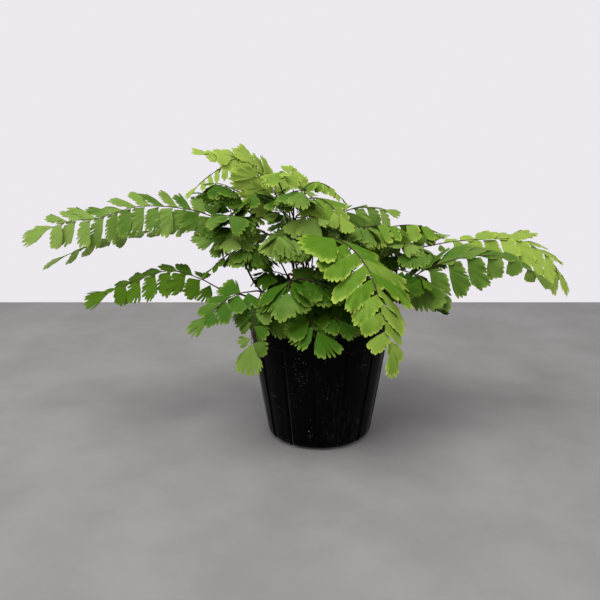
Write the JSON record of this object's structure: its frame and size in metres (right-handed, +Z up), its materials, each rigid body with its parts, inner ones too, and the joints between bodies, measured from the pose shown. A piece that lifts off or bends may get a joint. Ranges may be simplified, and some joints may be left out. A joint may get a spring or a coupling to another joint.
{
  "type": "potted fern",
  "caption": "Young maidenhair-type fern: arching feathered leaves on wiry dark stalks, rooted in potting mix in a small fluted black plastic nursery pot.",
  "frame": {"origin": "centre of the pot's foot, on the surface it stands on", "axes": "+Z up out of the pot; +X along the plant's longest spread, to the viewer's right; the pot's front faces -Y"},
  "size_m": [0.3518, 0.1716, 0.1865],
  "materials": {
    "black_plastic": "satin, thin-walled, dusty",
    "potting_mix": "matt, moist, crumbly peat and bark",
    "rootstock": "matt, scaly",
    "crozier": "matt, finely scaly",
    "stalk": "polished, wiry",
    "leaf_young": "satin, thin, veined",
    "leaf_mature": "satin, thin, veined",
    "leaf_old": "satin, thin, veined"
  },
  "bodies": {
    "root": {"pot": "black_plastic", "potting_mix": "potting_mix", "rootstock": "rootstock", "crozier": "crozier", "left_stalk": "stalk", "left_pinna_long": "leaf_mature", "left_pinna_lower": "leaf_mature", "left_pinna_back": "leaf_old", "left_pinna_back_right": "leaf_old", "left_pinna_right": "leaf_mature", "left_pinna_front": "leaf_mature", "left_pinna_single": "leaf_mature", "left_thin_stalk": "stalk", "left_thin_pinna_thin": "leaf_old", "left_thin_pinna_right": "leaf_old", "top_stalk": "stalk", "top_pinna_arching": "leaf_young", "top_pinna_drooping": "leaf_young", "top_back_stalk": "stalk", "top_back_pinna_young": "leaf_young", "top_back_pinna_right_light": "leaf_young", "top_back_pinna_right_front": "leaf_young", "top_back_pinna_left_inner": "leaf_old", "top_back_pinna_right_inner": "leaf_old", "front_right_stalk": "stalk", "front_right_pinna_long": "leaf_young", "front_right_pinna_left": "leaf_mature", "front_right_pinna_front": "leaf_mature", "back_right_stalk": "stalk", "back_right_pinna_top": "leaf_mature", "back_right_pinna_front": "leaf_mature", "back_right_pinna_back": "leaf_old", "right_stalk": "stalk", "right_pinna_long": "leaf_young", "right_pinna_front": "leaf_mature", "right_pinna_back": "leaf_mature", "right_low_stalk": "stalk", "right_low_pinna_long": "leaf_mature", "right_low_pinna_back": "leaf_old", "left_low_stalk": "stalk", "left_low_pinna_long": "leaf_old", "front_left_stalk": "stalk", "front_left_pinna_long": "leaf_mature", "front_left_pinna_hanging": "leaf_mature", "front_stalk": "stalk", "front_pinna_centre": "leaf_mature", "front_pinna_right": "leaf_mature", "front_pinna_low": "leaf_mature", "front_pinna_low_right": "leaf_mature", "back_left_stalk": "stalk", "back_left_pinna_left": "leaf_mature", "back_left_pinna_right": "leaf_mature", "back_stalk": "stalk", "back_pinna_right": "leaf_mature", "back_pinna_left": "leaf_young", "back_pinna_low": "leaf_old", "inner_stalk": "stalk", "inner_pinna_front": "leaf_old", "inner_pinna_back": "leaf_old"}
  },
  "joints": []
}
